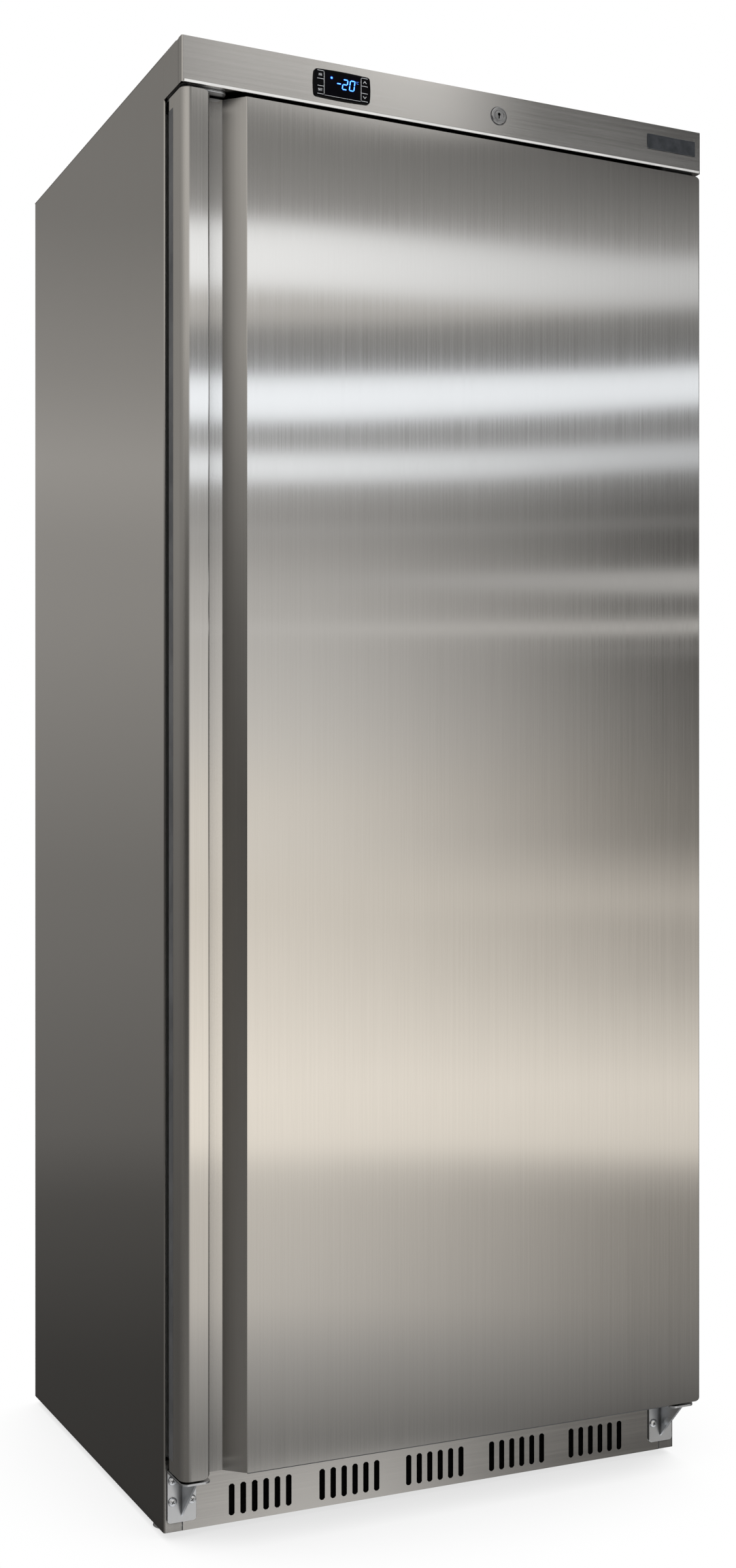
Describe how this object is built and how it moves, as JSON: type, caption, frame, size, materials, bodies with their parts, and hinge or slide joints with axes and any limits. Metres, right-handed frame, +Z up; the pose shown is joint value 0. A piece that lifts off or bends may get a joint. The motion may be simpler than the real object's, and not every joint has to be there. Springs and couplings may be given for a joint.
{
  "type": "upright freezer",
  "caption": "Upright brushed-steel freezer: hinged door with folded-in grip, canopy with digital controller and key lock, slotted plinth, cold wire shelves inside.",
  "frame": {"origin": "on the floor, under the middle of the bounding box", "axes": "+Z up, along the height; the front faces -Y, and +X is to the viewer's right"},
  "size_m": [0.777, 0.6984, 1.895],
  "materials": {
    "case_steel": "satin",
    "door_steel": "satin",
    "galvanised": "matt",
    "zinc": "bright",
    "lock_chrome": "polished",
    "foam": "matt",
    "liner": "satin",
    "strip": "matt",
    "white_plastic": "satin",
    "dark_plastic": "matt",
    "bezel_plastic": "satin",
    "key_plastic": "satin",
    "display": "gloss",
    "black_enamel": "satin",
    "white_enamel": "satin",
    "copper": "satin",
    "rubber_black": "matt",
    "gasket": "matt",
    "nylon": "satin"
  },
  "bodies": {
    "cabinet": {"side_panel_left": "case_steel", "side_panel_right": "case_steel", "top_panel": "case_steel", "back_panel": "galvanised", "base_pan": "galvanised", "header_panel": "case_steel", "plinth_grille": "case_steel", "foam_insulation": "foam", "liner_sides": "liner", "liner_back": "liner", "liner_top": "liner", "liner_floor": "liner", "breaker_strip": "strip", "canopy_fascia": "case_steel", "canopy_cheeks": "case_steel", "controller_case": "dark_plastic", "controller_bezel": "bezel_plastic", "display_lens": "display", "lock_housing": "lock_chrome", "lock_nut": "zinc", "base_rails": "galvanised", "compressor_tray": "galvanised", "roller_brackets": "zinc", "compressor_shell": "black_enamel", "compressor_grommets": "rubber_black", "compressor_relay": "dark_plastic", "discharge_line": "copper", "drier_lines": "copper", "suction_line": "copper", "filter_drier": "copper", "condenser": "black_enamel", "condenser_standoffs": "dark_plastic", "terminal_box": "dark_plastic", "cable_gland": "dark_plastic", "evaporator_shelves": "white_enamel", "evaporator_risers": "white_enamel", "shelf_clips": "white_plastic", "temperature_probe": "white_plastic", "hinge_bracket_left": "zinc", "hinge_bracket_right": "zinc", "hinge_plates_top": "zinc", "hinge_pins": "zinc", "hinge_washer": "white_plastic", "hinge_screws": "zinc"},
    "door": {"door_skin": "door_steel", "door_foam": "foam", "door_liner": "white_plastic", "door_gasket": "gasket", "door_bushes": "white_plastic", "lock_keeper": "zinc"},
    "lock": {"lock_plug": "lock_chrome", "lock_tongue": "zinc"},
    "key_menu": {"key_menu": "key_plastic"},
    "key_set": {"key_set": "key_plastic"},
    "key_up": {"key_up": "key_plastic"},
    "key_down": {"key_down": "key_plastic"},
    "foot_left": {"foot_left": "zinc"},
    "foot_right": {"foot_right": "zinc"},
    "roller_left": {"roller_left": "nylon"},
    "roller_right": {"roller_right": "nylon"}
  },
  "joints": [
    {"name": "door_swing", "type": "hinge", "parent": "cabinet", "child": "door", "pos_m": [0.3745, -0.31775, 0.964], "axis": [0, 0, 1], "range_deg": [0, 110]},
    {"name": "lock_turn", "type": "hinge", "parent": "cabinet", "child": "lock", "pos_m": [0.061, -0.34575, 1.866], "axis": [0, 1, 0], "range_deg": [0, 90]},
    {"name": "key_menu_press", "type": "slide", "parent": "cabinet", "child": "key_menu", "axis": [0, 1, 0], "range_m": [0, 0.0005], "stiffness_N_per_m": 800, "springref_m": -0.0005},
    {"name": "key_set_press", "type": "slide", "parent": "cabinet", "child": "key_set", "axis": [0, 1, 0], "range_m": [0, 0.0005], "stiffness_N_per_m": 800, "springref_m": -0.0005},
    {"name": "key_up_press", "type": "slide", "parent": "cabinet", "child": "key_up", "axis": [0, 1, 0], "range_m": [0, 0.0005], "stiffness_N_per_m": 800, "springref_m": -0.0005},
    {"name": "key_down_press", "type": "slide", "parent": "cabinet", "child": "key_down", "axis": [0, 1, 0], "range_m": [0, 0.0005], "stiffness_N_per_m": 800, "springref_m": -0.0005},
    {"name": "foot_left_screw", "type": "slide", "parent": "cabinet", "child": "foot_left", "axis": [0, 0, -1], "range_m": [0, 0.015]},
    {"name": "foot_right_screw", "type": "slide", "parent": "cabinet", "child": "foot_right", "axis": [0, 0, -1], "range_m": [0, 0.015]},
    {"name": "roller_left_spin", "type": "hinge", "parent": "cabinet", "child": "roller_left", "pos_m": [-0.3215, 0.28925, 0.018], "axis": [1, 0, 0], "continuous": true},
    {"name": "roller_right_spin", "type": "hinge", "parent": "cabinet", "child": "roller_right", "pos_m": [0.3215, 0.28925, 0.018], "axis": [1, 0, 0], "continuous": true}
  ]
}
